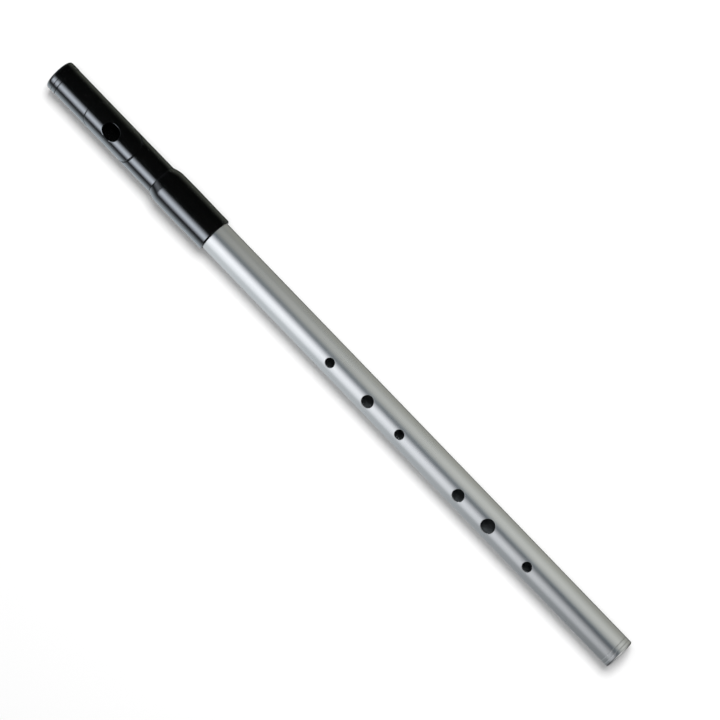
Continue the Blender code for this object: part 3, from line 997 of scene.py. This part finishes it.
def make_world():
    """White surroundings for the camera, a weak fill for the rest and nothing to reflect."""
    world = bpy.data.worlds.new("world")
    world.use_nodes = True
    tree = world.node_tree
    tree.nodes["Background"].inputs["Color"].default_value = (1.0, 1.0, 1.0, 1.0)
    path = tree.nodes.new("ShaderNodeLightPath")
    strength = tree.nodes.new("ShaderNodeMapRange")
    strength.inputs["To Min"].default_value = FILL_SHARE * FLOOR_LIGHT
    strength.inputs["To Max"].default_value = 1.0
    tree.links.new(path.outputs["Is Camera Ray"], strength.inputs["Value"])
    tree.links.new(strength.outputs["Result"], tree.nodes["Background"].inputs["Strength"])
    world.cycles_visibility.glossy = False
    bpy.context.scene.world = world
    bpy.context.scene.view_settings.view_transform = "Standard"


def make_lights(dark_pieces, bright_pieces):
    """Overhead lights for the floor and its shadow, and the panels that the pieces reflect."""
    make_world()
    overhead_light("key", 26.5, -4.4, 9.9, 0.54)
    overhead_light("top", 11.3, -4.0, 19.5, 0.3)
    dark = gathered("lit_dark", dark_pieces)
    bright = gathered("lit_bright", bright_pieces)
    soft_panel("dark_strip", dark, -51.8, 32.8, 13.8, (-0.388, 0.1), (0.61, 0.2), COOL)
    soft_panel("dark_tail", dark, -51.8, 32.8, 3.0, (-1.8, -0.34), (0.61, 0.06), COOL)
    soft_panel("dark_low", dark, -124.0, 43.5, 3.0, (-0.8, 0.4), (0.62, 0.2), (0.88, 0.99, 1.08))
    soft_panel("dark_top", dark, 15.0, 55.0, 0.012, FULL_SPAN, (0.3, 0.1), (0.9, 1.0, 1.0))
    # for the crown's rounded end, and for the edges that face either end
    soft_panel("dark_crown_end", dark, 15.0, 36.0, 0.45, (-0.55, -0.28), (0.5, 0.35), COOLER)
    span, softness = (-0.35, 0.35), (0.5, 0.3)
    soft_panel("dark_crown_side", dark, 5.0, 45.0, 0.6, span, softness, COOLER, lean=-88.0)
    soft_panel("dark_foot_side", dark, 5.0, 45.0, 0.6, span, softness, COOL, lean=75.0)
    soft_panel("dark_under", dark, -165.0, 26.0, 0.7, FULL_SPAN, (0.38, 0.1), NEUTRAL)
    soft_panel("dark_far", dark, 125.0, 38.5, 0.39, FULL_SPAN, (0.52, 0.1), (1.0, 1.08, 0.9))

    span, softness, colour = (-0.742, 0.350), (0.5, 0.468), (0.965, 0.995, 1.04)
    soft_panel("bright_strip", bright, -43.0, 49.2, 1.448, span, softness, colour, turn=23.4)
    span, softness, colour = (-1.500, 0.448), (0.41, 0.367), (0.945, 1.01, 1.05)
    soft_panel("bright_low", bright, -114.5, 57.8, 0.755, span, softness, colour)
    span, softness, colour = (-0.445, 0.635), (0.47, 0.578), (0.99, 1.02, 0.975)
    soft_panel("bright_far", bright, 51.9, 57.3, 0.787, span, softness, colour)
    span, softness, colour = (-0.640, 0.734), (0.4, 0.516), (1.02, 1.04, 0.94)
    soft_panel("bright_far_low", bright, 121.3, 43.0, 0.389, span, softness, colour)
    soft_panel("bright_top", bright, 5.0, 25.0, 0.03, FULL_SPAN, (0.4, 0.1), (0.2, 0.9, 1.6))
    # for the foot's rounded end
    span, softness, warm, cool = (-0.2, 0.7), (0.4, 0.2), (1.0, 1.0, 0.97), (0.97, 1.0, 1.03)
    soft_panel("bright_foot_end", bright, 50.0, 50.0, 0.6, span, softness, warm, lean=60.0)
    soft_panel("bright_foot_near", bright, -85.0, 42.0, 0.25, span, softness, cool, lean=60.0)
    soft_panel("bright_under", bright, -168.0, 26.0, 0.3, FULL_SPAN, (0.38, 0.1), NEUTRAL)


def main():
    polymer, aluminium, gold, grey = black_polymer(), satin_aluminium(), brass(), steel()
    make_camera()
    dark = [make_crown(polymer), make_head_tube(polymer), make_sleeve(polymer)]
    bright = [make_body_tube(aluminium)]
    rings = rubber()
    for number, station in enumerate(RING_STATIONS, start=1):
        dark.append(make_sealing_ring(number, station, rings))
    bright += [make_screw(grey), make_nut(gold), make_plate(gold), make_cork(cork())]
    make_floor()
    make_lights(dark, bright)


main()
